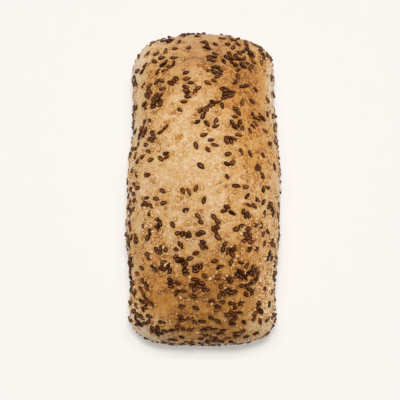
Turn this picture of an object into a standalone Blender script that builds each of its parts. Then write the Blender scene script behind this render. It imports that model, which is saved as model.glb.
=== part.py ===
"""Seeded sandwich loaf: a small hearth loaf with blunt ends, rolled in brown linseed before baking.

The loaf lies on its flat underside. X runs across it, Y along it and Z up, and the origin is on the
surface that it rests on, under the middle of the loaf. All sizes are in metres.

The crust is one closed surface around a core point: crust_level() says how far out a point is, and
crust_points() finds the crust along any direction from the core. The linseeds lie on that crust and
are fused to it, so the loaf is one solid.
"""

import math
import random

import bmesh
import bpy
import numpy as np
from mathutils import Matrix, Vector, noise
from mathutils.bvhtree import BVHTree

# Driving dimensions of the bare loaf.
LENGTH = 0.2115
WIDTH = 0.1003
HEIGHT = 0.0850

# Its form. "Along" is Y as a share of half the length: -1 at the near end and 1 at the far end.
BELLY_HEIGHT = 0.027  # the widest level, above the underside
TUCK_DEPTH = 0.042  # how far below the belly the tucked-in sides would meet
SIDE_POWER = 2.5
END_POWER = 15.0
FAR_BOW = 0.047  # how much shorter the far half is along its sides than along its middle, as a share
RISE_POWER = 2.2
CROWN_FALL = 0.64  # share of the crown's rise that is lost towards the ends
FAR_TAPER = 0.062  # the far half is that share narrower, from FAR_START to FAR_FULL along
FAR_START, FAR_FULL = 0.05, 0.50
NEAR_TAPER = 0.055
NEAR_START, NEAR_FULL = 0.35, 0.80
CENTRING = Vector((0.0010, -0.0004, 0.0))  # puts the middle of the uneven loaf over the origin
CORE = Vector((0.0, 0.0, 0.036))
REACH = 0.16  # further from the core than any of the crust

# Swellings and hollows of the dough: where, how wide and how high.
SWELLS = (
    (Vector((-0.050, -0.010, 0.040)), 0.028, 0.0022),
    (Vector((0.050, 0.012, 0.045)), 0.034, 0.0014),
    (Vector((0.046, 0.068, 0.040)), 0.014, -0.0016),
    (Vector((-0.043, 0.092, 0.030)), 0.020, 0.0026),
    (Vector((-0.048, -0.086, 0.028)), 0.014, 0.0030),
    (Vector((0.048, -0.068, 0.030)), 0.028, -0.0019),
    (Vector((0.036, -0.102, 0.030)), 0.020, 0.0018),
    (Vector((-0.006, 0.075, 0.066)), 0.011, 0.0016),
    (Vector((-0.020, 0.030, 0.080)), 0.024, 0.0012),
    (Vector((0.016, -0.060, 0.070)), 0.022, 0.0014),
    (Vector((-0.030, -0.084, 0.045)), 0.012, -0.0012),
)
# Uneven rise: wavelength and height of each layer of smooth noise.
UNEVENNESS = ((0.060, 0.0016), (0.026, 0.0010), (0.013, 0.0004))

# The crust's grid of faces.
FACE_SIZE = 0.0085
LEAST_EDGE = 0.0007

# Linseeds, which are long, flat and pointed at one end.
SEED_LENGTH = 0.0049
SEED_WIDTH = 0.0025
SEED_THICKNESS = 0.0013
SEED_TAPER = 0.30
SEED_LIFT = 0.0002  # the middle of a seed above the crust
SEED_SIDES, SEED_RINGS = 5, 3
SEED_COUNT = 210
SEED_SPACING = 0.0056
SEED_LINE = 0.009  # no seed stuck lower than this on the sides
CANDIDATES = 6000
DRAW = 27
# Patches with few seeds: where, how wide and the share of seeds missing.
BARE_PATCHES = (
    (Vector((-0.024, 0.001, 0.081)), 0.015, 0.97),
    (Vector((-0.008, 0.008, 0.085)), 0.014, 0.90),
    (Vector((0.007, -0.002, 0.085)), 0.013, 0.80),
    (Vector((-0.016, 0.034, 0.079)), 0.013, 0.60),
    (Vector((-0.006, 0.073, 0.068)), 0.012, 0.96),
    (Vector((-0.009, 0.092, 0.054)), 0.008, 0.70),
    (Vector((-0.044, 0.088, 0.038)), 0.012, 0.95),
    (Vector((0.042, 0.077, 0.048)), 0.010, 0.70),
    (Vector((0.042, 0.057, 0.053)), 0.010, 0.85),
    (Vector((0.047, 0.064, 0.031)), 0.012, 0.90),
    (Vector((-0.024, -0.083, 0.058)), 0.010, 0.97),
    (Vector((-0.044, -0.095, 0.030)), 0.010, 0.90),
    (Vector((0.039, -0.095, 0.040)), 0.010, 0.60),
)


def ramp(values, start, full):
    """0 up to start, 1 from full on, and smooth between them."""
    share = np.clip((values - start) / (full - start), 0, 1)
    return share * share * (3 - 2 * share)


def crust_level(points):
    """Under 1 inside the smooth loaf, 1 on its crust and over 1 outside it."""
    x, y, z = points.T
    along = y / (LENGTH / 2)
    taper = FAR_TAPER * ramp(along, FAR_START, FAR_FULL) + NEAR_TAPER * ramp(-along, NEAR_START, NEAR_FULL)
    side = x / (WIDTH / 2 * (1 - taper))
    crown = (HEIGHT - BELLY_HEIGHT) * (1 - CROWN_FALL * np.minimum(along * along, 1))
    rise = (z - BELLY_HEIGHT) / np.where(z > BELLY_HEIGHT, crown, TUCK_DEPTH)
    end = along * (1 + FAR_BOW * (along > 0) * np.minimum(side * side, 1))
    return np.abs(side) ** SIDE_POWER + np.abs(end) ** END_POWER + np.abs(rise) ** RISE_POWER


def outward(points):
    """Unit normals of the smooth loaf at these points of its crust."""
    step = 1e-5
    slopes = [crust_level(points + step * axis) - crust_level(points - step * axis) for axis in np.eye(3)]
    normals = np.array(slopes).T
    return normals / np.linalg.norm(normals, axis=1, keepdims=True)


def relief(point):
    """How far the crust stands out from the smooth loaf at a point."""
    height = sum(size * math.exp(-(((point - place).length / width) ** 2)) for place, width, size in SWELLS)
    for wavelength, size in UNEVENNESS:
        height += size * noise.noise(point / wavelength)
    return height


def crust_points(directions):
    """Where the crust is, along each direction from the core."""
    ways = np.array(directions, float)
    ways /= np.linalg.norm(ways, axis=1, keepdims=True)
    near, far = np.zeros(len(ways)), np.full(len(ways), REACH)
    for _ in range(40):
        middle = (near + far) / 2
        inside = crust_level(np.array(CORE) + ways * middle[:, None]) < 1
        near, far = np.where(inside, middle, near), np.where(inside, far, middle)
    smooth = np.array(CORE) + ways * near[:, None]
    heights = np.array([relief(Vector(point)) for point in smooth])
    return smooth + outward(smooth) * heights[:, None] + np.array(CENTRING)


def seeded_share(point):
    """The share of the usual seeds that stuck at a point of the crust."""
    share = 1.0
    for place, width, missing in BARE_PATCHES:
        share *= 1 - missing * math.exp(-(((point - place).length / width) ** 2))
    return share


def crust_mesh():
    """The bare loaf: a box divided into a grid, drawn out to the crust and cut flat underneath."""
    bm = bmesh.new()
    bmesh.ops.create_cube(bm, size=1)
    spans = (WIDTH, LENGTH, HEIGHT)
    for axis, span in enumerate(spans):
        runs = [e for e in bm.edges if abs(e.verts[0].co[axis] - e.verts[1].co[axis]) > 0.5]
        bmesh.ops.subdivide_edges(bm, edges=runs, cuts=round(span / FACE_SIZE) - 1, use_grid_fill=True)
    for vert, point in zip(bm.verts, crust_points([v.co * Vector(spans) for v in bm.verts])):
        vert.co = point
    every = bm.verts[:] + bm.edges[:] + bm.faces[:]
    cut = bmesh.ops.bisect_plane(bm, geom=every, plane_co=(0, 0, 0), plane_no=(0, 0, 1), clear_inner=True)
    rim = [part for part in cut["geom_cut"] if isinstance(part, bmesh.types.BMEdge)]
    bmesh.ops.edgeloop_fill(bm, edges=rim)
    bmesh.ops.remove_doubles(bm, verts=bm.verts[:], dist=LEAST_EDGE)
    bmesh.ops.triangulate(bm, faces=bm.faces[:])
    bmesh.ops.recalc_face_normals(bm, faces=bm.faces[:])
    mesh = bpy.data.meshes.new("loaf")
    bm.to_mesh(mesh)
    bm.free()
    return mesh


def linseed_mesh():
    """A linseed along X, lying flat, with its point at +X."""
    bm = bmesh.new()
    bmesh.ops.create_uvsphere(bm, u_segments=SEED_SIDES, v_segments=SEED_RINGS, radius=0.5)
    for vert in bm.verts:
        across, upward, along = vert.co
        narrowing = 1 - SEED_TAPER * (along + abs(along))
        vert.co = (along * SEED_LENGTH, across * SEED_WIDTH * narrowing, upward * SEED_THICKNESS)
    mesh = bpy.data.meshes.new("linseed")
    bm.to_mesh(mesh)
    bm.free()
    return mesh


def random_direction(draw):
    """From the core towards a random point on the top and sides of a box as large as the loaf."""
    sides = (LENGTH * HEIGHT, WIDTH * HEIGHT, WIDTH * LENGTH / 2)
    axis = draw.choices(range(3), weights=sides)[0]
    way = [draw.uniform(-0.5, 0.5) for _ in range(3)]
    way[axis] = 0.5 if axis == 2 else draw.choice((-0.5, 0.5))
    return way[0] * WIDTH, way[1] * LENGTH, way[2] * HEIGHT


def sow(crust):
    """Places of the linseeds, as matrices: each lies flat on the crust, turned at random."""
    draw = random.Random(DRAW)
    tree = BVHTree.FromPolygons([v.co for v in crust.vertices], [p.vertices for p in crust.polygons])
    places, middles = [], []
    for candidate in map(Vector, crust_points([random_direction(draw) for _ in range(CANDIDATES)])):
        turn = Matrix.Rotation(draw.uniform(0, math.tau), 4, "Z")
        sticks = draw.random() < seeded_share(candidate)
        if len(middles) == SEED_COUNT or candidate.z < SEED_LINE or not sticks:
            continue
        if any((candidate - other).length < SEED_SPACING for other in middles):
            continue
        middles.append(candidate)
        point, normal, _, _ = tree.find_nearest(candidate)
        upright = normal.to_track_quat("Z", "Y").to_matrix().to_4x4()
        places.append(Matrix.Translation(point + normal * SEED_LIFT) @ upright @ turn)
    return places


def fuse(solid, pieces):
    """Joins the collection's objects to the solid, then removes them."""
    union = solid.modifiers.new("fused seeds", "BOOLEAN")
    union.operation = "UNION"
    union.operand_type = "COLLECTION"
    union.collection = pieces
    union.solver = "EXACT"
    graph = bpy.context.evaluated_depsgraph_get()
    joined = bpy.data.meshes.new_from_object(solid.evaluated_get(graph))
    solid.modifiers.clear()
    solid.data = joined
    for piece in list(pieces.objects):
        bpy.data.objects.remove(piece)
    bpy.data.collections.remove(pieces)


def keep_largest_shell(mesh):
    """Drops loose scraps and the skins of sealed hollows, which fills those hollows."""
    bm = bmesh.new()
    bm.from_mesh(mesh)
    left, shells = set(bm.verts), []
    while left:
        shell, front = set(), [left.pop()]
        while front:
            vert = front.pop()
            shell.add(vert)
            reached = {e.other_vert(vert) for e in vert.link_edges} & left
            left -= reached
            front.extend(reached)
        shells.append(shell)
    largest = max(shells, key=len)
    bmesh.ops.delete(bm, geom=[v for v in bm.verts if v not in largest], context="VERTS")
    bm.to_mesh(mesh)
    bm.free()


def crust_material():
    """Matt, golden-brown crust."""
    material = bpy.data.materials.new("seeded crust")
    material.use_nodes = True
    shader = material.node_tree.nodes["Principled BSDF"]
    shader.inputs["Base Color"].default_value = (0.48, 0.27, 0.10, 1)
    shader.inputs["Roughness"].default_value = 0.75
    shader.inputs["Metallic"].default_value = 0.0
    return material


def main():
    for old in list(bpy.data.objects):
        bpy.data.objects.remove(old)
    parts = bpy.data.collections.new("sandwich_loaf")
    seeds = bpy.data.collections.new("seeds")
    for collection in (parts, seeds):
        bpy.context.scene.collection.children.link(collection)

    loaf = bpy.data.objects.new("loaf", crust_mesh())
    parts.objects.link(loaf)
    linseed = linseed_mesh()
    for place in sow(loaf.data):
        seed = bpy.data.objects.new("linseed", linseed)
        seed.matrix_world = place
        seeds.objects.link(seed)
    fuse(loaf, seeds)
    keep_largest_shell(loaf.data)
    loaf.data.materials.clear()
    loaf.data.materials.append(crust_material())


main()
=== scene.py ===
"""Looks of the seeded sandwich loaf: its crust, its linseeds, its sesame and the crumbs of husk between them.

The loaf lies on its flat underside, crown up. X runs across it, Y along it and Z up, in metres. The crust
follows the same formula as the solid that it replaces, with the fine relief added.
"""

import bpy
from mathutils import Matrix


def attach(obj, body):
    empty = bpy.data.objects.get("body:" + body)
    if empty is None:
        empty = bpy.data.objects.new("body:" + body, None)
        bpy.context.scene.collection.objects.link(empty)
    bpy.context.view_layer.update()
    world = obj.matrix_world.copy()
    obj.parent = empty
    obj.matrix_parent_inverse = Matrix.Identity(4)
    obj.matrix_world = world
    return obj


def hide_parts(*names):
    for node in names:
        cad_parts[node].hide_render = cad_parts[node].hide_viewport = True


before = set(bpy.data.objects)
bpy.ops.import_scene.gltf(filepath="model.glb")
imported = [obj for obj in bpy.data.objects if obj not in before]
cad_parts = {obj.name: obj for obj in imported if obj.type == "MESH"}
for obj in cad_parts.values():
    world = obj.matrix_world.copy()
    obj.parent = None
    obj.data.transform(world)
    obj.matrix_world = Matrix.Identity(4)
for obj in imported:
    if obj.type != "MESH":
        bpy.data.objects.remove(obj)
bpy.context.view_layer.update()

import math
import random

import bpy
import numpy as np
from mathutils import Euler, Matrix, Vector, noise
from mathutils.bvhtree import BVHTree
from mathutils.kdtree import KDTree

# The bare loaf, as in the solid.
LENGTH = 0.2115
WIDTH = 0.1003
HEIGHT = 0.0850
BELLY_HEIGHT = 0.027
TUCK_DEPTH = 0.042
SIDE_POWER = 2.5
END_POWER = 15.0
FAR_BOW = 0.047
RISE_POWER = 2.2
CROWN_FALL = 0.64
FAR_TAPER = 0.062
FAR_START, FAR_FULL = 0.05, 0.50
NEAR_TAPER = 0.055
NEAR_START, NEAR_FULL = 0.35, 0.80
CENTRING = Vector((0.0010, -0.0004, 0.0))
CORE = Vector((0.0, 0.0, 0.036))
REACH = 0.16
SWELLS = (
    (Vector((-0.050, -0.010, 0.040)), 0.028, 0.0022),
    (Vector((0.050, 0.012, 0.045)), 0.034, 0.0014),
    (Vector((0.046, 0.068, 0.040)), 0.014, -0.0016),
    (Vector((-0.043, 0.092, 0.030)), 0.020, 0.0026),
    (Vector((-0.048, -0.086, 0.028)), 0.014, 0.0030),
    (Vector((0.048, -0.068, 0.030)), 0.028, -0.0019),
    (Vector((0.036, -0.102, 0.030)), 0.020, 0.0018),
    (Vector((-0.006, 0.075, 0.066)), 0.011, 0.0016),
    (Vector((-0.020, 0.030, 0.080)), 0.024, 0.0012),
    (Vector((0.016, -0.060, 0.070)), 0.022, 0.0014),
    (Vector((-0.030, -0.084, 0.045)), 0.012, -0.0012),
)
UNEVENNESS = ((0.060, 0.0016), (0.026, 0.0010), (0.013, 0.0004))
HALVINGS = 40  # of the stretch in which the crust is sought

# What scene.py adds to the crust.
CELL_ACROSS, CELL_UP = 0.00095, 0.0013  # of the crust's grid, on the crown and up the walls
RIM_RADIUS = 0.0012  # of the edge round the flat underside
FINE_RELIEF = ((0.0065, 0.00030), (0.0032, 0.00020), (0.0018, 0.00008))  # wavelength, height
BUBBLE = Vector((-0.0056, 0.0735, 0.067))  # middle of the smooth bubble, with a crease round its far side
CREASE_RADIUS, CREASE_WIDTH, CREASE_DEPTH = 0.0100, 0.0012, 0.0009
CREASE_SIDE = (0.45, 0.85)  # how far round towards the far side, as a sine, it starts and is full
CREASE_LINES = ((0.0100, 0.75), (0.0074, 0.35))  # radius and strength of the dark lines of painted shade along the creases
CREASE_LINE_WIDTH = 0.0006
CREASE_LINE_START = (0.0015, 0.0055)  # how far past the bubble's middle the lines start and are full
WOBBLE, WOBBLE_LENGTH = 0.0024, 0.006  # of the lines
DOUGH_RISE, DOUGH_REACH = 0.00028, 0.0022  # of the crust round each seed
FOOT = (0.001, 0.004)  # heights between which the rise and the crease come in
LINSEED_HALO = (0.0018, 0.0034)  # distances between which the browner crust round a seed fades, partly toasted and partly painted shade
SESAME_HALO = (0.0010, 0.0023)

# Linseeds.
SEED_LENGTH, SEED_WIDTH, SEED_THICKNESS = 0.0052, 0.0028, 0.0012
SEED_SPACING = 0.0056
SEED_LINE = 0.009
CANDIDATES = 6000
DRAW = 27
SOLID_SEEDS = 210  # those of the solid, which the same rule and draws put in the same places
BARE_PATCHES = (
    (Vector((-0.024, 0.001, 0.081)), 0.015, 0.97),
    (Vector((-0.008, 0.008, 0.085)), 0.014, 0.90),
    (Vector((0.007, -0.002, 0.085)), 0.013, 0.80),
    (Vector((-0.016, 0.034, 0.079)), 0.013, 0.60),
    (Vector((-0.006, 0.073, 0.068)), 0.012, 0.96),
    (Vector((-0.009, 0.092, 0.054)), 0.008, 0.70),
    (Vector((-0.044, 0.088, 0.038)), 0.012, 0.95),
    (Vector((0.042, 0.077, 0.048)), 0.010, 0.70),
    (Vector((0.042, 0.057, 0.053)), 0.010, 0.85),
    (Vector((0.047, 0.064, 0.031)), 0.012, 0.90),
    (Vector((-0.024, -0.083, 0.058)), 0.010, 0.97),
    (Vector((-0.044, -0.095, 0.030)), 0.010, 0.90),
    (Vector((0.039, -0.095, 0.040)), 0.010, 0.60),
    (Vector((-0.034, -0.098, 0.034)), 0.008, 0.90),
)
# Single linseeds: column and row in the picture, and which way they point there, in degrees from right.
SINGLES = (
    (179, 42, 60), (172, 41, 30), (206, 47, 40), (232, 63, -60), (227, 58, -40), (152, 45, 40),
    (175, 49, 0), (157, 54, 30), (166, 52, 80), (148, 54, 60), (189, 48, 60), (162, 58, 10), (174, 58, 0),
    (155, 62, -30), (163, 65, 30), (166, 63, 60), (170, 67, 0), (174, 64, 80), (146, 65, 50),
    (143, 71, 50), (138, 71, 20), (158, 72, 55), (165, 71, 10), (186, 73, 15), (187, 79, 10),
    (191, 83, -5), (157, 82, 50), (162, 81, -40), (150, 86, 35), (144, 85, 60), (137, 85, -60),
    (163, 89, 0), (188, 93, -5), (195, 92, 60), (198, 89, 30), (161, 95, 20), (203, 43, 0),
    (206, 44, -30), (222, 39, -10), (231, 39, -15), (234, 41, -10), (238, 45, -40), (228, 45, 10),
    (233, 48, 60), (216, 45, -35), (208, 49, -20), (246, 45, -50), (247, 49, 50), (243, 52, 45),
    (240, 54, -30), (255, 46, -40), (250, 52, -30), (252, 57, 15), (250, 55, -20), (260, 53, -50),
    (263, 59, 50), (229, 54, -80), (230, 58, -60), (236, 57, -60), (234, 60, 0), (239, 60, -30),
    (244, 59, 60), (224, 62, -60), (215, 54, -30), (210, 57, 5), (214, 58, 0), (210, 60, 20),
    (213, 62, -40), (235, 66, 10), (242, 64, 30), (243, 67, -30), (247, 64, 20), (253, 62, -40),
    (252, 66, 20), (250, 69, 40), (261, 63, -80), (212, 68, 0), (216, 68, 5), (209, 71, -10),
    (214, 73, -30), (221, 71, -20), (237, 71, 30), (217, 77, 10), (219, 74, -30), (214, 81, -30),
    (208, 83, -30), (242, 87, 0), (246, 86, -10), (255, 90, -20), (238, 77, -70), (235, 82, 60),
    (223, 89, 10), (137, 107, 60), (180, 110, -40), (184, 102, -5), (188, 97, -10), (161, 132, 30),
    (166, 127, 50), (149, 152, -40), (143, 157, 15), (136, 156, 70), (161, 159, -50), (197, 122, 12),
    (196, 146, -70), (200, 111, 70), (203, 116, 70), (204, 135, 15), (218, 102, 15), (222, 106, -80),
    (242, 103, 80), (252, 102, -45), (235, 109, 0), (259, 116, -45), (262, 119, -50), (255, 124, -40),
    (253, 127, -40), (250, 131, -60), (267, 115, 80), (272, 114, -20), (207, 124, -45), (216, 121, 75),
    (216, 126, 25), (232, 123, -70), (240, 122, 60), (238, 135, -20), (211, 140, 10), (227, 138, 15),
    (226, 142, -55), (233, 139, -35), (215, 145, -15), (208, 150, -45), (228, 154, 15), (250, 154, -65),
    (263, 156, -60), (269, 144, 20), (274, 142, -50), (138, 161, 70), (151, 160, 10), (201, 166, -40),
    (137, 175, -70), (148, 175, 0), (135, 185, -50), (138, 188, -10), (163, 191, -30), (183, 191, -65),
    (189, 192, -65), (196, 188, 65), (134, 194, 0), (135, 200, 45), (147, 198, 5), (157, 199, -10),
    (164, 203, 15), (144, 203, 60), (147, 204, -60), (151, 206, -40), (131, 203, -60), (134, 209, 40),
    (150, 213, 70), (131, 216, 0), (186, 210, 25), (198, 216, -45), (201, 222, -40), (173, 225, -60),
    (204, 200, 75), (227, 164, -30), (232, 163, 30), (274, 167, -80), (227, 177, -60), (262, 176, -45),
    (236, 186, -5), (246, 187, 15), (263, 189, 70), (267, 187, -20), (247, 196, 50), (257, 200, -40),
    (263, 202, 50), (249, 205, -25), (254, 206, -40), (227, 207, -15), (224, 211, 10), (264, 214, 80),
    (268, 207, 15), (271, 209, -45), (232, 213, -30), (214, 217, -50), (218, 221, -30), (261, 225, 65),
    (278, 207, 80), (131, 231, -70), (132, 237, 60), (136, 237, -70), (130, 241, 60), (144, 227, -50),
    (157, 220, 50), (177, 249, 5), (150, 232, -75), (149, 237, 60), (178, 233, 15), (181, 245, -60),
    (157, 250, -70), (161, 249, -80), (160, 252, -20), (166, 249, 75), (148, 254, 0), (150, 258, -10),
    (203, 242, 0), (202, 246, -60), (205, 246, -40), (196, 253, 15), (179, 261, -10), (142, 268, -35),
    (153, 267, -45), (156, 269, -40), (164, 262, 20), (168, 266, 60), (170, 271, 65), (197, 266, 55),
    (201, 266, 70), (131, 273, -65), (138, 274, -30), (143, 281, -50), (147, 284, -50), (134, 283, 60),
    (178, 283, -10), (205, 276, -50), (217, 227, -25), (214, 229, -60), (216, 232, -70), (218, 237, -40),
    (225, 244, 50), (223, 248, 70), (228, 250, 60), (231, 249, 70), (234, 248, 80), (232, 254, -60),
    (241, 226, 30), (236, 229, 20), (248, 229, 10), (248, 234, -80), (245, 235, -45), (247, 238, 0),
    (249, 236, 70), (244, 241, 0), (251, 242, 20), (249, 249, 45), (256, 249, 35), (255, 225, 10),
    (263, 234, 60), (267, 231, -60), (270, 243, -60), (272, 241, 70), (272, 245, -45), (264, 244, 80),
    (278, 232, -80), (274, 264, -70), (271, 259, 60), (268, 257, 70), (269, 253, 80), (231, 262, 75),
    (241, 262, -25), (246, 266, 50), (235, 276, -30), (237, 274, -50), (240, 276, -60), (239, 271, -50),
    (242, 273, -45), (245, 277, -60), (248, 273, 50), (251, 271, 60), (253, 272, 80), (255, 270, 85),
    (258, 274, 60), (255, 279, 60), (252, 281, -20), (250, 284, 10), (243, 285, 10), (247, 286, -30),
    (228, 278, -80), (231, 280, 70), (218, 277, 25), (220, 267, 20), (215, 261, 0), (221, 286, 60),
    (206, 290, 5), (220, 295, 60), (223, 293, -40), (226, 291, 20), (228, 289, -10), (231, 292, 0),
    (234, 291, 10), (246, 294, -50), (241, 303, 20), (252, 292, 60), (249, 289, -30), (264, 289, 60),
    (271, 292, 60), (212, 301, 0), (218, 306, -20), (222, 302, 15), (217, 309, 10), (231, 303, 0),
    (235, 306, 80), (231, 312, 0), (235, 313, 10), (239, 312, 5), (234, 318, 15), (232, 320, 20),
    (218, 321, -30), (233, 324, 0), (244, 322, -50), (254, 318, 50), (260, 321, -80), (267, 319, 50),
    (258, 303, -40), (258, 308, -60), (260, 311, -70), (255, 313, 40), (269, 304, 80), (209, 328, 10),
    (214, 328, 15), (204, 329, 0), (223, 330, 10), (205, 335, 5), (220, 333, 0), (235, 333, 20),
    (242, 331, 30), (237, 336, 10), (247, 336, 10), (256, 333, 20), (227, 338, 0), (217, 338, -40),
    (221, 341, 0), (210, 342, 10), (232, 341, 20), (131, 289, 60), (133, 292, -60), (135, 295, -60),
    (141, 289, -45), (147, 288, -60), (144, 295, -60), (146, 298, -60), (148, 300, -70), (142, 301, -30),
    (147, 302, -50), (147, 307, 0), (152, 304, -60), (143, 309, -65), (137, 306, -60), (132, 302, 60),
    (134, 311, 20), (138, 315, -40), (142, 317, -50), (139, 322, -40), (141, 324, -50), (145, 323, 20),
    (149, 321, 60), (150, 316, -15), (162, 322, -15), (158, 328, -70), (165, 331, -20), (172, 330, 10),
    (177, 328, -60), (178, 325, 50), (183, 329, -50), (180, 316, 15), (182, 320, 0), (189, 318, 10),
    (195, 322, -40), (202, 321, 0), (177, 292, 60), (183, 291, 5), (182, 306, 5), (196, 308, -30),
    (193, 296, -20), (170, 339, 0), (175, 339, 10), (182, 337, -30), (187, 341, -5), (191, 341, 0),
    (183, 343, 0), (173, 343, 0), (164, 341, -10), (198, 37, -15), (270, 204, 0), (272, 214, 70),
    (252, 268, 70), (231, 142, -70), (272, 117, -10), (145, 123, 70), (150, 122, -80), (143, 129, 60),
    (146, 130, 75), (142, 133, 65), (145, 134, 60), (140, 137, 80), (139, 145, 85), (137, 149, 15),
    (153, 132, 0), (154, 135, -60), (155, 138, -30), (150, 139, 25), (153, 141, 0), (147, 145, 0),
    (238, 125, 80), (234, 127, -45), (242, 129, 80), (238, 113, -60), (235, 117, 0), (253, 116, -80),
    (256, 119, -30), (241, 152, -75), (264, 131, -20), (228, 314, 0), (190, 329, 10), (211, 318, -40),
    (192, 344, 0), (204, 344, 5), (129, 207, 60), (131, 211, -60), (130, 222, 60), (131, 226, -40),
    (129, 236, 60), (130, 246, -60), (131, 256, 50), (132, 259, -40), (131, 268, 60), (132, 279, -60),
    (134, 286, -60), (129, 196, 60), (132, 190, -60), (133, 170, 60), (277, 240, 60),
)
# Heaps of linseeds side by side: column, row and direction in the picture, and how many.
HEAPS = (
    (169, 42, 20, 2), (174, 82, -70, 3), (186, 89, 5, 2), (149, 95, -80, 4), (228, 94, -10, 6),
    (156, 98, 20, 3), (156, 102, -40, 3), (161, 102, 30, 3), (155, 106, 20, 2), (146, 105, 60, 2),
    (167, 155, 35, 2), (206, 111, -50, 2), (212, 104, -25, 2), (258, 168, 60, 2), (246, 214, 80, 3),
    (137, 241, -50, 2), (159, 226, -55, 3), (186, 235, 85, 3), (200, 233, -30, 2), (178, 257, 35, 2),
    (187, 260, 30, 4), (131, 263, -70, 2), (163, 269, -40, 2), (186, 272, 5, 2), (196, 269, 0, 2),
    (171, 283, 5, 3), (196, 281, 5, 2), (200, 284, -10, 2), (194, 286, 0, 2),
)
HEAP_PITCH, HEAP_ROW, HEAP_SCATTER = 0.0023, 0.0038, 0.0005  # between seeds side by side and end to end
HEAP_BREADTH, BIG_HEAP = 3, 6  # seeds side by side, and one more in heaps from this number on
HEAP_TWIST, HEAP_FAN = 0.20, 0.16  # radians: at random, and from one seed to the next beside it
SEED_REACH = (-0.0014, 0.0, 0.0014)  # along a seed, the places that have to be clear of other seeds
SEED_CLEARANCE = 0.0017
STANDS_FOR = 0.0090  # how far from one of the solid's seeds a seed may lie that stands for it
SEED_LIFT, LAYER = 0.00046, 0.0009  # of a seed on the crust, and more for one on others
TOP_LAYER = 2
SEED_TILT, LAYER_TILT = 8, 5  # degrees, on the crust and more for each layer
SEED_VARIETY = (0.08, 0.08, 0.06)  # of length, width and thickness, as shares
EXTRA_SEEDS = 240
EXTRA_TOP = 0.045  # the extra seeds are lower than this, where the picture shows few or none
EXTRA_SHARE, EXTRA_CLUMPING, EXTRA_CLUMP = 0.35, 2.4, 0.012  # of places tried; clumps, their size
LEAN_UP, WALL_LEAN = 1.0, 0.5  # how far seeds lean towards the camera, and its share on upright walls
FLATTEST_VIEW = 0.3  # the least that the crust is taken to face the camera

# Sesame.
SESAME_LENGTH, SESAME_WIDTH, SESAME_THICKNESS = 0.0031, 0.0021, 0.00080
SESAME_COUNT = 3200
SESAME_SPACING = 0.0017
SESAME_LEAN_UP = 0.4
SESAME_CANDIDATES = 32000
SESAME_SHARE = 0.22  # of the places tried that take a seed, before what follows
SESAME_NEAR, SESAME_NEAR_SPAN = 0.12, (-0.04, 0.05)  # more towards the near end, and where it grows
SESAME_TIP, SESAME_TIP_SPAN = 0.30, (0.06, 0.10)  # more at the near end
SESAME_FAR, SESAME_FAR_SPAN = 0.10, (0.03, 0.06)  # less towards the far end
SESAME_RIGHT, SESAME_RIGHT_FROM = 0.26, 0.005  # more on the right
SESAME_CLUMPING, SESAME_CLUMP = 1.15, 0.009  # how strong and how large clumps are
SESAME_IN_BARE = 0.12  # the share that stays where linseeds are missing
SESAME_BESIDE, SESAME_BESIDE_REACH = 0.40, 0.0042  # more beside a linseed
SESAME_GAP = 0.0016  # the least distance from a linseed's middle
SESAME_TILT, SESAME_WALL_TILT = 0.16, 0.24  # radians, on the crown and more on the walls
SESAME_VARIETY = (0.09, 0.09, 0.10)
SUNK_SHARE, SUNK_LIFTS, LOOSE_LIFTS = 0.45, (-0.00010, 0.00016), (0.00018, 0.00050)
SESAME_FAR_TONE = 0.86  # of the palest seeds at the far end, where 1 is the palest of all
FAR_TONE_SPAN = (0, 0.04)  # where it comes in

# Crumbs of bran and husk.
BRAN_LENGTH, BRAN_WIDTH, BRAN_THICKNESS = 0.0011, 0.0006, 0.00025
BRAN_COUNT = 2200
BRAN_TILT, BRAN_LIFT = 0.4, 0.0001
BRAN_LENGTHS, BRAN_WIDTHS = (0.5, 1.4), (0.6, 1.3)  # of the usual crumb

# Form of all seeds: how fast they narrow to the tip, how full they are, and how fast the edge begins.
TIP_TAPER, TIP_POWER = 0.35, 1.15
DEPTH_POWER, LENS_POWER = 0.7, 1.15
EDGE_POWER, END_EDGE_POWER = 2, 5

# The camera looks down on the crown from the near end.
CAMERA_ELEVATION = math.radians(80.5)
CAMERA_DISTANCE = 1.1
CAMERA_TARGET = Vector((-0.0023, -0.0111, 0.0431))
CAMERA_BACK = Vector((0, -math.cos(CAMERA_ELEVATION), math.sin(CAMERA_ELEVATION)))  # target to camera
CAMERA_UP = Vector((0, math.sin(CAMERA_ELEVATION), math.cos(CAMERA_ELEVATION)))
PIXEL = 0.000669  # metres at the target for each pixel of the picture
PICTURE = 400
SENSOR = 36.0  # millimetres

# How far the crust is baked: 0 is cream, 1 is deep brown. A span is where the change starts and is full.
BAKE = 0.37
NEAR_BAKE, NEAR_BAKE_SPAN = 0.19, (0.032, 0.085)
FAR_BAKE, FAR_BAKE_SPAN = 0.08, (0.04, 0.075)
RIGHT_BAKE, RIGHT_BAKE_SPAN = 0.05, (0.005, 0.035)
LOW_PALENESS, LOW_SPAN = 0.50, (-0.064, -0.022)  # less low down, by minus the height
END_DROP, END_SPAN = 0.016, (0.085, 0.100)  # the pale band stops this much lower at the ends
BASE_BAKE, BASE_HEIGHT = 0.62, 0.0008  # of the underside
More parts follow.
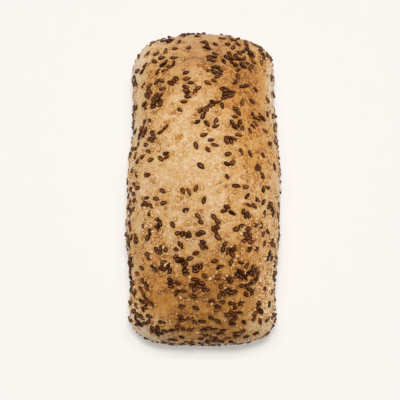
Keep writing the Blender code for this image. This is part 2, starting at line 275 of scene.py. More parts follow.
# Where the crust is browner or paler than around it: place, width, amount.
BAKE_ZONES = (
    (Vector((-0.006, 0.082, 0.062)), 0.011, 0.18),
    (Vector((0.008, 0.088, 0.056)), 0.014, 0.12),
    (Vector((0.028, 0.066, 0.066)), 0.020, 0.18),
    (Vector((0.032, 0.036, 0.070)), 0.018, 0.14),
    (Vector((0.031, 0.008, 0.070)), 0.014, 0.14),
    (Vector((-0.022, 0.002, 0.081)), 0.026, -0.04),
    (Vector((-0.044, 0.088, 0.038)), 0.016, -0.34),
    (Vector((-0.046, 0.060, 0.045)), 0.020, 0.04),
    (Vector((-0.044, -0.095, 0.030)), 0.016, -0.40),
    (Vector((0.039, -0.095, 0.040)), 0.014, -0.25),
    (Vector((0.047, 0.064, 0.031)), 0.014, -0.35),
    (Vector((0.040, -0.060, 0.055)), 0.014, -0.22),
    (Vector((0.002, -0.076, 0.067)), 0.024, 0.14),
    (Vector((-0.030, -0.098, 0.043)), 0.012, -0.28),
    (Vector((-0.030, -0.083, 0.054)), 0.016, 0.17),
    (Vector((-0.034, 0.074, 0.058)), 0.018, 0.10),
    (Vector((-0.047, -0.052, 0.042)), 0.022, 0.17),
    (Vector((0.011, 0.050, 0.081)), 0.012, 0.07),
    (Vector((-0.004, 0.067, 0.074)), 0.010, -0.06),
    (Vector((-0.018, 0.044, 0.080)), 0.016, -0.08),
    (Vector((0.038, 0.074, 0.055)), 0.010, 0.12),
    (Vector((-0.018, -0.055, 0.077)), 0.012, -0.07),
    (Vector((0.011, -0.056, 0.078)), 0.012, -0.03),
    (Vector((0.024, -0.048, 0.071)), 0.020, 0.09),
    (Vector((-0.018, 0.058, 0.078)), 0.012, 0.08),
    (Vector((0.046, -0.085, 0.043)), 0.018, -0.14),
)
DULLNESS, DULL_SPAN = 0.34, (0.050, 0.095)  # the greyed crust at the far end
DULL_RIGHT, DULL_RIGHT_SPAN = 0.7, (0.0, 0.030)  # the share of it that is missing on the right

# Colours as screen values of 0 to 255, after their place on a scale of 0 to 1 where a ramp uses them.
CRUST_COLOURS = (
    (0.00, (226, 208, 182)),
    (0.16, (222, 197, 160)),
    (0.36, (211, 170, 113)),
    (0.55, (200, 145, 73)),
    (0.74, (187, 122, 42)),
    (0.90, (150, 90, 28)),
    (1.00, (104, 55, 17)),
)
HAZE, BLUSH, STRAW = (225, 199, 168), (194, 124, 60), (198, 160, 88)
VEIN, GREYED, CREASE_SHADE_COLOUR = (170, 116, 62), (204, 176, 146), (128, 74, 30)
LINSEED_COLOURS = (
    (0.0, (42, 14, 2)),
    (0.35, (72, 31, 7)),
    (0.70, (90, 46, 17)),
    (0.93, (98, 49, 16)),
    (1.0, (116, 61, 24)),
)
# The linseeds' stripe is a painted highlight along the middle; their dark edge is partly a toasted rim and
# partly painted shade.
LINSEED_HIGHLIGHT_STRIPE, LINSEED_RIM_AND_SHADE = (154, 110, 80), (20, 4, 1)
LINSEED_TINT = (1.0, 0.54, 0.28, 1.0)  # of its highlights, as linear shares
SESAME_COLOURS = (
    (0.0, (230, 198, 150)),
    (0.36, (222, 178, 114)),
    (0.60, (206, 146, 76)),
    (0.85, (168, 104, 44)),
)
# The sesame's pale colour is a painted highlight on the palest seeds; their dark edge is partly a toasted rim
# and partly painted shade.
SESAME_PAINTED_HIGHLIGHT, SESAME_RIM_AND_SHADE = (246, 218, 174), (112, 58, 18)
BRAN_COLOURS = (
    (0.0, (210, 162, 104)),
    (0.6, (182, 124, 66)),
    (0.92, (148, 92, 44)),
    (1.0, (92, 52, 26)),
)
BRAN_STREAK = (140, 88, 44)
BACKDROP = (250, 246, 241)

# Noise that makes the crust browner and paler: wavelength, detail, roughness, distortion, and how far.
MOTTLING = (
    (0.014, 3.0, 0.6, 0.6, 0.40),
    (0.0048, 2.0, 0.6, 0.4, 0.30),
    (0.0017, 3.0, 0.7, 0.4, 0.95),
)
# Browner crust round the seeds is partly toasting and partly painted shade; the crease's browner crust is
# painted shade.
NEAR_SEED_TOAST_AND_SHADE, CREASE_SHADE = 0.24, 0.22
SESAME_MOTTLING = 0.35
SCRAMBLE = 7.31  # makes another random value of a seed's tone

# The floor, the light all round, and soft lights: name, place, height, how many times as wide, power, colour.
FLOOR_HALF = 20.0
FLOOR_GRAIN = (0.297, 0.291, 0.285, 1), (0.303, 0.297, 0.291, 1)
FLOOR_GLOW = 0.40
WORLD_STRENGTH = 0.26
LIGHT_TARGET = Vector((0, 0, 0.04))
FLOOR_LIGHTS = (
    ("floor", (0.0, 0.12, 3.0), 0.36, 1.6, 104.0, (1.0, 0.99, 0.98)),
    ("floor far", (0.0, 0.54, 3.0), 0.40, 4.0, 48.0, (1.0, 0.99, 0.98)),
)
LOAF_LIGHTS = (
    ("top", (0.0, 0.32, 1.35), 0.30, 1.0, 7.3, (1.0, 0.985, 0.965)),
    ("key", (-0.04, 0.40, 1.20), 0.20, 1.0, 5.2, (1.0, 0.975, 0.94)),
    ("left", (-1.10, -0.10, 0.35), 0.60, 1.0, 3.0, (1.0, 0.985, 0.97)),
    ("right", (1.10, -0.10, 0.35), 0.60, 1.0, 4.5, (1.0, 0.985, 0.97)),
)


def linear(red, green, blue):
    """A colour from screen values of 0 to 255."""
    shares = [value / 255 for value in (red, green, blue)]
    return tuple(s / 12.92 if s <= 0.04045 else ((s + 0.055) / 1.055) ** 2.4 for s in shares) + (1.0,)


def ramp(values, start, full):
    """0 up to start, 1 from full on, and smooth between them."""
    share = np.clip((values - start) / (full - start), 0, 1)
    return share * share * (3 - 2 * share)


def crust_level(points):
    """Under 1 inside the smooth loaf, 1 on its crust and over 1 outside it."""
    x, y, z = points.T
    along = y / (LENGTH / 2)
    taper = FAR_TAPER * ramp(along, FAR_START, FAR_FULL) + NEAR_TAPER * ramp(-along, NEAR_START, NEAR_FULL)
    side = x / (WIDTH / 2 * (1 - taper))
    crown = (HEIGHT - BELLY_HEIGHT) * (1 - CROWN_FALL * np.minimum(along * along, 1))
    rise = (z - BELLY_HEIGHT) / np.where(z > BELLY_HEIGHT, crown, TUCK_DEPTH)
    end = along * (1 + FAR_BOW * (along > 0) * np.minimum(side * side, 1))
    return np.abs(side) ** SIDE_POWER + np.abs(end) ** END_POWER + np.abs(rise) ** RISE_POWER


def outward(points):
    """Unit normals of the smooth loaf at these points of its crust."""
    step = 1e-5
    slopes = [crust_level(points + step * axis) - crust_level(points - step * axis) for axis in np.eye(3)]
    normals = np.array(slopes).T
    return normals / np.linalg.norm(normals, axis=1, keepdims=True)


def relief(point):
    """How far the crust stands out from the smooth loaf at a point."""
    height = sum(size * math.exp(-(((point - place).length / width) ** 2)) for place, width, size in SWELLS)
    for wavelength, size in UNEVENNESS:
        height += size * noise.noise(point / wavelength)
    return height


def crust_points(directions, fine=False):
    """Where the crust is, along each direction from the core."""
    ways = np.array(directions, float)
    ways /= np.linalg.norm(ways, axis=1, keepdims=True)
    near, far = np.zeros(len(ways)), np.full(len(ways), REACH)
    for _ in range(HALVINGS):
        middle = (near + far) / 2
        inside = crust_level(np.array(CORE) + ways * middle[:, None]) < 1
        near, far = np.where(inside, middle, near), np.where(inside, far, middle)
    smooth = np.array(CORE) + ways * near[:, None]
    heights = np.array([relief(Vector(point)) for point in smooth])
    if fine:
        for wavelength, size in FINE_RELIEF:
            heights += size * np.array([noise.noise(Vector(point) / wavelength) for point in smooth])
    return smooth + outward(smooth) * heights[:, None] + np.array(CENTRING)


def box_grid(cells):
    """Points on the skin of a box of that many cells each way, from -0.5 to 0.5, and its faces."""
    quads = []
    for axis in range(3):
        first, second = (axis + 1) % 3, (axis + 2) % 3
        i, j = (grid.ravel() for grid in np.meshgrid(np.arange(cells[first]), np.arange(cells[second])))
        for level in (0, cells[axis]):
            corners = []
            for step in ((0, 0), (1, 0), (1, 1), (0, 1)):
                corner = np.zeros((len(i), 3), int)
                corner[:, axis], corner[:, first], corner[:, second] = level, i + step[0], j + step[1]
                corners.append(corner)
            quads.append(np.stack(corners if level else corners[::-1], axis=1))
    points, index = np.unique(np.concatenate(quads).reshape(-1, 3), axis=0, return_inverse=True)
    return points / np.array(cells) - 0.5, index.reshape(-1, 4)


def settle(points):
    """The points with what is below the underside pressed flat, and a round edge there."""
    points[:, 2] = RIM_RADIUS * np.logaddexp(0, points[:, 2] / RIM_RADIUS)
    return points


def seeded_share(point):
    """The share of the usual seeds that stuck at a point of the crust."""
    share = 1.0
    for place, width, missing in BARE_PATCHES:
        share *= 1 - missing * math.exp(-(((point - place).length / width) ** 2))
    return share


def random_direction(draw):
    """From the core towards a random point on the top and sides of a box as large as the loaf."""
    sides = (LENGTH * HEIGHT, WIDTH * HEIGHT, WIDTH * LENGTH / 2)
    axis = draw.choices(range(3), weights=sides)[0]
    way = [draw.uniform(-0.5, 0.5) for _ in range(3)]
    way[axis] = 0.5 if axis == 2 else draw.choice((-0.5, 0.5))
    return way[0] * WIDTH, way[1] * LENGTH, way[2] * HEIGHT


def solid_seeds():
    """Middles and turns of the linseeds of the solid, by its own rule."""
    draw = random.Random(DRAW)
    middles, turns = [], []
    for candidate in map(Vector, crust_points([random_direction(draw) for _ in range(CANDIDATES)])):
        turn = draw.uniform(0, math.tau)
        sticks = draw.random() < seeded_share(candidate)
        if len(middles) == SOLID_SEEDS or candidate.z < SEED_LINE or not sticks:
            continue
        if any((candidate - other).length < SEED_SPACING for other in middles):
            continue
        middles.append(candidate)
        turns.append(turn)
    return middles, turns


def behind_pixel(tree, column, row):
    """The crust's point behind a place in the picture."""
    start = CAMERA_TARGET + CAMERA_BACK * CAMERA_DISTANCE
    across, down = (column - PICTURE / 2) * PIXEL, (row - PICTURE / 2) * PIXEL
    seen = CAMERA_TARGET + Vector((across, 0, 0)) - CAMERA_UP * down
    return tree.ray_cast(start, seen - start)[0]


def stance(tree, place, lean_up=LEAN_UP):
    """The crust's nearest point, and the turn of a flat seed there, which leans up a little on the walls."""
    point, normal, _, _ = tree.find_nearest(place)
    upward = max(0, normal.z)
    lean = lean_up * CAMERA_BACK * (1 - upward) * (WALL_LEAN + upward)
    return point, (normal + lean).to_track_quat("Z", "Y").to_matrix()


def overlaps(first, second):
    """Whether two linseeds, each a middle and the way it points, lie across each other."""
    gap = first[0] - second[0]
    if gap.length > SEED_LENGTH:
        return False
    ends = [gap + first[1] * i - second[1] * j for i in SEED_REACH for j in SEED_REACH]
    return min(end.length for end in ends) < SEED_CLEARANCE


def lay(tree, middle, turn):
    """A linseed's middle and the way it points, lying flat on the crust."""
    point, upright = stance(tree, middle)
    return point, upright @ Matrix.Rotation(turn, 3, "Z").col[0]


def turn_in_view(tree, place, degrees):
    """The turn of a seed on the crust that points that way in the picture."""
    upright = stance(tree, place)[1]
    normal = upright.col[2]
    way = Vector((math.cos(math.radians(degrees)), 0, 0)) + CAMERA_UP * math.sin(math.radians(degrees))
    way -= CAMERA_BACK * (way.dot(normal) / max(FLATTEST_VIEW, CAMERA_BACK.dot(normal)))
    return math.atan2(way.dot(upright.col[1]), way.dot(upright.col[0]))


def lay_heap(tree, draw, laid, heap, way, count):
    """A heap of linseeds round a point, side by side in rows, and on those that already lie there."""
    fan = stance(tree, heap)[1] @ Matrix.Rotation(way, 3, "Z")
    broad = HEAP_BREADTH + (count >= BIG_HEAP)
    for number in range(count):
        row = number // broad
        across = number % broad - (min(broad, count - row * broad) - 1) / 2
        along = (row - (math.ceil(count / broad) - 1) / 2) * HEAP_ROW + draw.gauss(0, HEAP_SCATTER)
        turn = way + draw.gauss(0, HEAP_TWIST) - HEAP_FAN * across
        seed = lay(tree, heap + fan @ Vector((along, across * HEAP_PITCH, 0)), turn)
        below = [other[3] for other in laid if overlaps(seed, other)]
        laid.append(seed + (turn, min(TOP_LAYER, 1 + max(below, default=-1))))


def sow_linseeds(tree, draw):
    """Matrices of all the linseeds: those of the solid, the picture's and some more low on the walls."""
    laid = []
    for column, row, degrees in SINGLES:
        place = behind_pixel(tree, column, row)
        if place is not None:
            turn = turn_in_view(tree, place, degrees)
            seed = lay(tree, place, turn)
            laid.append(seed + (turn, int(any(overlaps(seed, other) for other in laid))))
    for column, row, degrees, count in HEAPS:
        place = behind_pixel(tree, column, row)
        if place is not None:
            lay_heap(tree, draw, laid, place, turn_in_view(tree, place, degrees), count)
    pictured = list(laid)
    for middle, turn in zip(*solid_seeds()):
        if all((middle - other[0]).length > STANDS_FOR for other in pictured):
            laid.append(lay(tree, middle, turn) + (turn, 0))
    wanted = len(laid) + EXTRA_SEEDS
    for candidate in map(Vector, crust_points([random_direction(draw) for _ in range(CANDIDATES)])):
        turn = draw.uniform(0, math.tau)
        share = EXTRA_SHARE + EXTRA_CLUMPING * noise.noise(candidate / EXTRA_CLUMP)
        sticks = draw.random() < seeded_share(candidate) * share
        if len(laid) == wanted or not SEED_LINE < candidate.z < EXTRA_TOP or not sticks:
            continue
        seed = lay(tree, candidate, turn)
        if not any(overlaps(seed, other) for other in laid):
            laid.append(seed + (turn, 0))
    places = []
    for point, _, turn, layer in laid:
        upright = stance(tree, point)[1]
        tilt = math.radians(SEED_TILT + LAYER_TILT * layer)
        lean = Euler((draw.gauss(0, tilt), draw.gauss(0, tilt), turn)).to_matrix()
        size = Matrix.Diagonal([draw.gauss(1, share) for share in SEED_VARIETY])
        lift = upright.col[2] * (SEED_LIFT + LAYER * layer)
        places.append(Matrix.Translation(point + lift) @ (upright @ lean @ size).to_4x4())
    return places


def sesame_share(point, away):
    """The share of the places tried that take a sesame seed, at a point that far from the next linseed."""
    x, y, _ = point
    dense = SESAME_SHARE + SESAME_NEAR * float(ramp(-y, *SESAME_NEAR_SPAN))
    dense += SESAME_RIGHT * (x > SESAME_RIGHT_FROM)
    dense += SESAME_TIP * float(ramp(-y, *SESAME_TIP_SPAN)) - SESAME_FAR * float(ramp(y, *SESAME_FAR_SPAN))
    dense += SESAME_CLUMPING * noise.noise(point / SESAME_CLUMP)
    dense *= SESAME_IN_BARE + (1 - SESAME_IN_BARE) * seeded_share(point)
    return dense + SESAME_BESIDE * (away < SESAME_BESIDE_REACH)


def sow_sesame(tree, draw, linseeds):
    """Matrices of the sesame seeds, almost half of them sunk into the crust."""
    dark = KDTree(len(linseeds))
    for number, place in enumerate(linseeds):
        dark.insert(place.translation, number)
    dark.balance()
    taken, places = set(), []
    for candidate in map(Vector, crust_points([random_direction(draw) for _ in range(SESAME_CANDIDATES)])):
        turn = draw.uniform(0, math.tau)
        away = dark.find(candidate)[2]
        sticks = draw.random() < sesame_share(candidate, away)
        cell = tuple(math.floor(part / SESAME_SPACING) for part in candidate)
        if len(places) == SESAME_COUNT or candidate.z < SEED_LINE or not sticks or cell in taken:
            continue
        if away < SESAME_GAP:
            continue
        taken.add(cell)
        point, upright = stance(tree, candidate, SESAME_LEAN_UP)
        tilt = SESAME_TILT + SESAME_WALL_TILT * (1 - upright.col[2].z)
        lean = Euler((draw.gauss(0, tilt), draw.gauss(0, tilt), turn)).to_matrix()
        size = Matrix.Diagonal([draw.gauss(1, share) for share in SESAME_VARIETY])
        lift = draw.uniform(*(SUNK_LIFTS if draw.random() < SUNK_SHARE else LOOSE_LIFTS))
        places.append(Matrix.Translation(point + upright.col[2] * lift) @ (upright @ lean @ size).to_4x4())
    return places


def sow_bran(tree, draw):
    """Matrices of the crumbs of bran and husk."""
    places = []
    for candidate in map(Vector, crust_points([random_direction(draw) for _ in range(BRAN_COUNT)])):
        if candidate.z < SEED_LINE:
            continue
        point, upright = stance(tree, candidate)
        tilts = draw.gauss(0, BRAN_TILT), draw.gauss(0, BRAN_TILT)
        lean = Euler((*tilts, draw.uniform(0, math.tau))).to_matrix()
        size = Matrix.Diagonal([draw.uniform(*BRAN_LENGTHS), draw.uniform(*BRAN_WIDTHS), 1])
        lift = upright.col[2] * BRAN_LIFT
        places.append(Matrix.Translation(point + lift) @ (upright @ lean @ size).to_4x4())
    return places


def seed_form(length, width, thickness, point, blunt, sides, rings):
    """Points, faces and how near the edge each point is, of one flat seed along X with its tip at +X."""
    points, edge = [(-length / 2, 0.0, 0.0)], [1.0]
    for ring in range(1, rings):
        angle = math.pi * ring / rings
        along = -math.cos(angle)
        taper = 1 - point * (along + TIP_TAPER * along * along)
        half = width / 2 * math.sin(angle) ** (TIP_POWER if along > 0 else blunt) * taper
        deep = thickness / 2 * math.sin(angle) ** DEPTH_POWER
        for side in range(sides):
            turn = math.tau * side / sides
            lens = math.copysign(abs(math.sin(turn)) ** LENS_POWER, math.sin(turn))
            points.append((along * length / 2, half * math.cos(turn), deep * lens))
            edge.append(max(abs(math.cos(turn)) ** EDGE_POWER, abs(along) ** END_EDGE_POWER))
    points.append((length / 2, 0.0, 0.0))
    edge.append(1.0)
    faces, last = [], len(points) - 1
    for side in range(sides):
        following = (side + 1) % sides
        faces.append((0, 1 + following, 1 + side))
        faces.append((last, last - sides + side, last - sides + following))
        for ring in range(rings - 2):
            a, b = 1 + ring * sides + side, 1 + ring * sides + following
            faces.append((a, b, b + sides, a + sides))
    return points, faces, edge


def add_attributes(mesh, **columns):
    """Numbers for each point of a mesh, for its material."""
    for name, values in columns.items():
        column = mesh.attributes.new(name, "FLOAT", "POINT")
        column.data.foreach_set("value", np.asarray(values, np.float32))


def seed_mesh(name, form, places, draw, far_tone=1.0):
    """One mesh of a seed at every place. Each seed has a tone, up to 1, and up to far_tone at the far end."""
    points, faces, edge = form
    corners = np.c_[np.array(points), np.ones(len(points))]
    everywhere = np.concatenate([(corners @ np.array(place).T)[:, :3] for place in places])
    starts = [number * len(points) for number in range(len(places))]
    joined = [tuple(start + corner for corner in face) for start in starts for face in faces]
    mesh = bpy.data.meshes.new(name)
    mesh.from_pydata(everywhere.tolist(), [], joined)
    mesh.shade_smooth()
    tones = np.array([draw.random() for _ in places])
    along = np.array([place.translation.y for place in places])
    tones *= 1 - (1 - far_tone) * ramp(along, *FAR_TONE_SPAN)
    add_attributes(mesh, tone=np.repeat(tones, len(points)), edge=np.tile(edge, len(places)))
    add_attributes(mesh, bake=bake_at(everywhere))
    mesh.update()
    return mesh


def crust_mesh():
    """The whole crust as one closed mesh."""
    spans = (WIDTH, LENGTH, HEIGHT)
    cells = (CELL_ACROSS, CELL_ACROSS, CELL_UP)
    box, faces = box_grid([round(span / cell) for span, cell in zip(spans, cells)])
    points = settle(crust_points(box * np.array(spans), fine=True))
    mesh = bpy.data.meshes.new("crust")
    mesh.from_pydata(points.tolist(), [], faces.tolist())
    mesh.shade_smooth()
    mesh.update()
    return mesh


def bake_at(points):
    """How far the crust is baked at these points."""
    x, y, z = points.T
    bake = BAKE + NEAR_BAKE * ramp(-y, *NEAR_BAKE_SPAN) + RIGHT_BAKE * ramp(x, *RIGHT_BAKE_SPAN)
    bake += FAR_BAKE * ramp(y, *FAR_BAKE_SPAN)
    bake -= LOW_PALENESS * ramp(-(z + END_DROP * ramp(np.abs(y), *END_SPAN)), *LOW_SPAN)
    for place, width, amount in BAKE_ZONES:
        away = np.linalg.norm(points - np.array(place), axis=1)
        bake += amount * np.exp(-((away / width) ** 2))
    return np.where(z < BASE_HEIGHT, BASE_BAKE, bake)


def dull_at(points):
    """How far the crust at the far end is greyed."""
    x, y, _ = points.T
    return DULLNESS * ramp(y, *DULL_SPAN) * (1 - DULL_RIGHT * ramp(x, *DULL_RIGHT_SPAN))


def crease_at(points):
    """1 in the crease round the far side of the bubble, and 0 away from it."""
    x, y, _ = (points - np.array(BUBBLE)).T
    away = np.linalg.norm(points - np.array(BUBBLE), axis=1)
    far_side = ramp(y / np.hypot(x, y).clip(1e-9), *CREASE_SIDE)
    return far_side * np.exp(-(((away - CREASE_RADIUS) / CREASE_WIDTH) ** 2))


def distances(points, places):
    """From each point to the nearest of the seeds."""
    seeds = KDTree(len(places))
    for number, place in enumerate(places):
        seeds.insert(place.translation, number)
    seeds.balance()
    return np.array([seeds.find(Vector(point))[2] for point in points])


def finish_crust(mesh, linseeds, sesame):
    """The crust drawn up round the seeds and creased, with what its material goes by."""
    points = np.empty(len(mesh.vertices) * 3)
    mesh.vertices.foreach_get("co", points)
    points = points.reshape(-1, 3)
    normals = np.empty(len(mesh.vertices) * 3)
    mesh.vertices.foreach_get("normal", normals)
    from_linseed = distances(points, linseeds)
    from_sesame = distances(points, sesame)
    away = np.minimum(from_linseed, from_sesame)
    # how near a seed: browner crust there, partly toasted and partly painted shade
    toast_and_shade = np.maximum(1 - ramp(from_linseed, *LINSEED_HALO), 1 - ramp(from_sesame, *SESAME_HALO))
    crease = crease_at(points)
    rise = DOUGH_RISE * np.exp(-((away / DOUGH_REACH) ** 2)) - CREASE_DEPTH * crease
    rise *= ramp(points[:, 2], *FOOT)
    bake = bake_at(points)
    points += normals.reshape(-1, 3) * rise[:, None]
    mesh.vertices.foreach_set("co", points.ravel())
    add_attributes(mesh, bake=bake, near_seed=toast_and_shade, crease=crease, dull=dull_at(points))
    mesh.update()


class Shader:
    """A node material with short ways to add and join nodes."""

    def __init__(self, name):
        self.material = bpy.data.materials.new(name)
        self.material.use_nodes = True
        self.nodes = self.material.node_tree.nodes
        self.links = self.material.node_tree.links
        self.surface = self.nodes["Principled BSDF"]

    def node(self, kind, inputs=(), **settings):
        made = self.nodes.new(kind)
        for key, value in settings.items():
            setattr(made, key, value)
        for key, value in dict(inputs).items():
            self.feed(made.inputs[key], value)
        return made

    def feed(self, socket, value):
        if isinstance(value, bpy.types.NodeSocket):
            self.links.new(value, socket)
        else:
            socket.default_value = value

    def attribute(self, name):
        return self.node("ShaderNodeAttribute", attribute_name=name).outputs["Fac"]

    def place(self):
        return self.node("ShaderNodeTexCoord").outputs["Object"]

    def noise(self, wavelength, detail=2.0, roughness=0.5, distortion=0.0):
        values = {"Vector": self.place(), "Scale": 1 / wavelength, "Detail": detail}
        values |= {"Roughness": roughness, "Distortion": distortion}
        return self.node("ShaderNodeTexNoise", values).outputs["Fac"]

    def math(self, operation, first, second=0.0, third=0.0, clamp=False):
        made = self.node("ShaderNodeMath", {0: first, 1: second}, operation=operation, use_clamp=clamp)
        self.feed(made.inputs[2], third)
        return made.outputs[0]

    def span(self, value, low, high, to_low=0.0, to_high=1.0):
        inputs = {"Value": value, "From Min": low, "From Max": high, "To Min": to_low, "To Max": to_high}
        return self.node("ShaderNodeMapRange", inputs, interpolation_type="SMOOTHSTEP").outputs["Result"]

    def mix(self, share, first, second):
        """One colour over another. The mix node has its colours in sockets 6 and 7, and out of 2."""
        made = self.node("ShaderNodeMix", data_type="RGBA")
        for number, value in ((0, share), (6, first), (7, second)):
            self.feed(made.inputs[number], value)
        return made.outputs[2]

    def ramp(self, value, stops):
        made = self.node("ShaderNodeValToRGB", {"Fac": value})
        elements = made.color_ramp.elements
        while len(elements) < len(stops):
            elements.new(0.5)
        for element, (position, colour) in zip(elements, stops):
            element.position, element.color = position, linear(*colour)
        return made.outputs["Color"]

    def bump(self, height, distance, strength=1.0, after=None):
        inputs = {"Height": height, "Distance": distance, "Strength": strength}
        if after is not None:
            inputs["Normal"] = after
        return self.node("ShaderNodeBump", inputs).outputs["Normal"]

    def crease_shade_line(self):
        """1 along the two thin creases round the far side of the bubble, where painted shade darkens the
        crust.
        """
        ends = {0: self.place(), 1: BUBBLE}
        away = self.node("ShaderNodeVectorMath", ends, operation="SUBTRACT").outputs[0]
        radius = self.node("ShaderNodeVectorMath", {0: away}, operation="LENGTH").outputs["Value"]
        wobble = self.math("MULTIPLY_ADD", self.noise(WOBBLE_LENGTH), WOBBLE, -WOBBLE / 2)
        radius = self.math("ADD", radius, wobble)
        line = 0.0
        for ring, strength in CREASE_LINES:
            off = self.math("ABSOLUTE", self.math("SUBTRACT", radius, ring))
            line = self.math("MULTIPLY_ADD", self.span(off, CREASE_LINE_WIDTH, 0.0), strength, line)
        far = self.node("ShaderNodeSeparateXYZ", {0: away}).outputs["Y"]
        return self.math("MULTIPLY", line, self.span(far, *CREASE_LINE_START), clamp=True)

    def finish(self, **inputs):
        for key, value in inputs.items():
            self.feed(self.surface.inputs[key.replace("_", " ")], value)
        return self.material


def crust_material():
    """Baked crust: cream, gold or brown by how far it is baked, mottled, with fine pimples and pores, browner
    round the seeds, partly toasted and partly painted shade, and painted shade in the crease.
    """
    s = Shader("baked crust")
    bake = s.attribute("bake")
    for *texture, amount in MOTTLING:
        bake = s.math("MULTIPLY_ADD", s.math("SUBTRACT", s.noise(*texture), 0.5), amount, bake)
    # browner round the seeds: partly toasted, partly painted shade
    bake = s.math("MULTIPLY_ADD", s.attribute("near_seed"), NEAR_SEED_TOAST_AND_SHADE, bake)
    # painted shade in the crease
    bake = s.math("MULTIPLY_ADD", s.attribute("crease"), CREASE_SHADE, bake, clamp=True)
    colour = s.ramp(bake, CRUST_COLOURS)
    cover = s.noise(wavelength=0.0052, detail=4.0, roughness=0.75, distortion=1.2)
    cover = s.span(cover, low=0.47, high=0.62, to_high=0.62)
    where_pale = s.span(s.attribute("bake"), low=0.56, high=0.36, to_low=0.12)
    colour = s.mix(s.math("MULTIPLY", cover, where_pale), colour, linear(*HAZE))
    cover = s.noise(wavelength=0.0040, detail=3.0, roughness=0.7, distortion=0.6)
    colour = s.mix(s.span(cover, low=0.53, high=0.68, to_high=0.40), colour, linear(*BLUSH))
    cover = s.noise(wavelength=0.0056, detail=3.0, roughness=0.7, distortion=0.5)
    colour = s.mix(s.span(cover, low=0.52, high=0.70, to_high=0.45), colour, linear(*STRAW))
    veins = s.noise(wavelength=0.0060, detail=3.0, roughness=0.6, distortion=1.5)
    veins = s.math("ABSOLUTE", s.math("SUBTRACT", veins, 0.5))
    colour = s.mix(s.span(veins, low=0.022, high=0.0, to_high=0.42), colour, linear(*VEIN))
    cover = s.noise(wavelength=0.0062, detail=4.0, roughness=0.7, distortion=0.8)
    cover = s.span(cover, low=0.40, high=0.62, to_low=0.2, to_high=1.5)
    colour = s.mix(s.math("MULTIPLY", s.attribute("dull"), cover), colour, linear(*GREYED))
    # dark lines of painted shade along the creases
    colour = s.mix(s.crease_shade_line(), colour, linear(*CREASE_SHADE_COLOUR))
    pores = s.bump(s.noise(wavelength=0.0008, roughness=0.6), distance=0.00022, strength=0.7)
    normal = s.bump(s.noise(wavelength=0.0026), distance=0.00060, strength=0.7, after=pores)
    roughness = s.span(s.noise(wavelength=0.010), low=0.3, high=0.7, to_low=0.50, to_high=0.68)
    return s.finish(Base_Color=colour, Roughness=roughness, Normal=normal, Specular_IOR_Level=0.25)


def linseed_material():
    """Glossy brown husk, darker round the edge, partly toasted and partly painted shade, with a painted
    highlight along the middle.
    """
    s = Shader("linseed husk")
    colour = s.ramp(s.attribute("tone"), LINSEED_COLOURS)
    # a painted highlight along the middle of each seed
    highlight_stripe = s.span(s.attribute("edge"), low=0.20, high=0.0)
    broken = s.span(s.noise(wavelength=0.0034, detail=1.0), low=0.35, high=0.62, to_low=0.05, to_high=0.80)
    colour = s.mix(s.math("MULTIPLY", highlight_stripe, broken), colour, linear(*LINSEED_HIGHLIGHT_STRIPE))
    # the dark rim: partly toasted, partly painted shade round the seed
    rim_and_shade = s.span(s.attribute("edge"), low=0.32, high=0.80, to_high=0.96)
    colour = s.mix(rim_and_shade, colour, linear(*LINSEED_RIM_AND_SHADE))
    normal = s.bump(s.noise(wavelength=0.0006), distance=0.00008, strength=0.4)
    s.finish(Specular_IOR_Level=0.12, Specular_Tint=LINSEED_TINT)
    return s.finish(Base_Color=colour, Roughness=0.38, Normal=normal)


def sesame_material():
    """Sesame, toasted as far as the crust under it, darker round the edge, partly toasted and partly painted
    shade, with a painted highlight on the palest seeds.
    """
    s = Shader("toasted sesame")
    tone = s.attribute("tone")
    grain = s.math("SUBTRACT", s.noise(wavelength=0.0030), 0.5)
    toast = s.math("MULTIPLY_ADD", grain, SESAME_MOTTLING, s.attribute("bake"))
    browner = s.span(tone, low=0.38, high=0.0, to_high=0.46)
    colour = s.ramp(s.math("ADD", toast, browner, clamp=True), SESAME_COLOURS)
    # a painted highlight on the seeds of the palest tone
    painted_highlight = s.span(tone, low=0.86, high=1.0, to_high=0.68)
    colour = s.mix(painted_highlight, colour, linear(*SESAME_PAINTED_HIGHLIGHT))
    # the dark rim: partly toasted, partly painted shade round the seed
    rim_and_shade = s.span(s.attribute("edge"), low=0.34, high=0.85, to_high=0.92)
    another_tone = s.math("FRACT", s.math("MULTIPLY", tone, SCRAMBLE))
    clear = s.span(another_tone, low=0.1, high=0.7, to_low=0.75)
    colour = s.mix(s.math("MULTIPLY", rim_and_shade, clear), colour, linear(*SESAME_RIM_AND_SHADE))
    normal = s.bump(s.noise(wavelength=0.0007), distance=0.00006, strength=0.4)
    return s.finish(Base_Color=colour, Roughness=0.45, Normal=normal, Specular_IOR_Level=0.30)


def bran_material():
    """Crumbs of bran, from straw to dark brown."""
    s = Shader("bran")
    colour = s.ramp(s.attribute("tone"), BRAN_COLOURS)
    streaks = s.span(s.noise(wavelength=0.0004), low=0.35, high=0.65, to_high=0.30)
    colour = s.mix(streaks, colour, linear(*BRAN_STREAK))
    normal = s.bump(s.noise(wavelength=0.0004), distance=0.00005, strength=0.4)
    return s.finish(Base_Color=colour, Roughness=0.7, Normal=normal, Specular_IOR_Level=0.25)


def add_piece(name, mesh, material):
    """A piece of the loaf that stands for the solid."""
    piece = bpy.data.objects.new(name, mesh)
    bpy.context.scene.collection.objects.link(piece)
    mesh.materials.append(material)
    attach(piece, "root")
    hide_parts("loaf")
    return piece


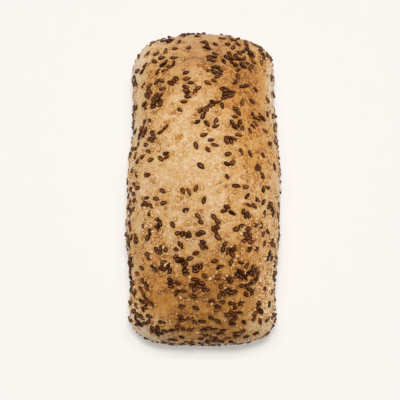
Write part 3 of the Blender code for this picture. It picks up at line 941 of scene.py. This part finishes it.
def add_floor():
    """A pale floor that hardly darkens in the shade."""
    mesh = bpy.data.meshes.new("floor")
    corners = [(x * FLOOR_HALF, y * FLOOR_HALF, 0) for x, y in ((-1, -1), (1, -1), (1, 1), (-1, 1))]
    mesh.from_pydata(corners, [], [(0, 1, 2, 3)])
    floor = bpy.data.objects.new("floor", mesh)
    bpy.context.scene.collection.objects.link(floor)
    s = Shader("pale floor")
    grain = s.mix(s.noise(wavelength=0.02), *FLOOR_GRAIN)
    s.finish(Base_Color=grain, Roughness=0.9, Specular_IOR_Level=0.0)
    s.finish(Emission_Color=linear(*BACKDROP), Emission_Strength=FLOOR_GLOW)
    mesh.materials.append(s.material)
    return floor


def add_light(name, place, size, wide, power, colour, only):
    """A soft light that faces the loaf, and lights only these pieces."""
    light = bpy.data.lights.new(name, "AREA")
    light.shape = "RECTANGLE"
    light.size, light.size_y, light.energy, light.color = size * wide, size, power, colour
    lamp = bpy.data.objects.new(name, light)
    lamp.location = place
    lamp.rotation_euler = (LIGHT_TARGET - Vector(place)).to_track_quat("-Z", "Y").to_euler()
    bpy.context.scene.collection.objects.link(lamp)
    lit = bpy.data.collections.new(name + " lit")
    for piece in only:
        lit.objects.link(piece)
    lamp.light_linking.receiver_collection = lit


def add_world():
    """Even soft light from all round."""
    world = bpy.data.worlds.new("studio")
    world.use_nodes = True
    background = world.node_tree.nodes["Background"]
    background.inputs["Color"].default_value = linear(*BACKDROP)
    background.inputs["Strength"].default_value = WORLD_STRENGTH
    bpy.context.scene.world = world


def add_camera():
    """The camera above the crown, tipped towards the near end."""
    lens = bpy.data.cameras.new("camera")
    lens.sensor_width = SENSOR
    lens.lens = SENSOR * CAMERA_DISTANCE / (PICTURE * PIXEL)
    camera = bpy.data.objects.new("camera", lens)
    camera.location = CAMERA_TARGET + CAMERA_BACK * CAMERA_DISTANCE
    camera.rotation_euler = (math.pi / 2 - CAMERA_ELEVATION, 0, 0)
    bpy.context.scene.collection.objects.link(camera)
    bpy.context.scene.camera = camera


def main():
    crust = crust_mesh()
    verts = [vert.co for vert in crust.vertices]
    tree = BVHTree.FromPolygons(verts, [face.vertices for face in crust.polygons])
    draw = random.Random(DRAW + 1)
    linseeds = sow_linseeds(tree, draw)
    sesame = sow_sesame(tree, draw, linseeds)
    finish_crust(crust, linseeds, sesame)
    pieces = [add_piece("crust", crust, crust_material())]
    size = SEED_LENGTH, SEED_WIDTH, SEED_THICKNESS
    form = seed_form(*size, point=0.22, blunt=0.95, sides=12, rings=9)
    mesh = seed_mesh("linseeds", form, linseeds, draw)
    pieces.append(add_piece("linseeds", mesh, linseed_material()))
    size = SESAME_LENGTH, SESAME_WIDTH, SESAME_THICKNESS
    form = seed_form(*size, point=0.30, blunt=0.70, sides=7, rings=5)
    mesh = seed_mesh("sesame", form, sesame, draw, SESAME_FAR_TONE)
    pieces.append(add_piece("sesame", mesh, sesame_material()))
    size = BRAN_LENGTH, BRAN_WIDTH, BRAN_THICKNESS
    form = seed_form(*size, point=0.2, blunt=0.8, sides=5, rings=3)
    mesh = seed_mesh("bran", form, sow_bran(tree, draw), draw)
    pieces.append(add_piece("bran", mesh, bran_material()))
    floor = add_floor()
    add_world()
    for light in FLOOR_LIGHTS:
        add_light(*light, [floor])
    for light in LOAF_LIGHTS:
        add_light(*light, pieces)
    add_camera()
    bpy.context.scene.view_settings.view_transform = "Standard"


main()
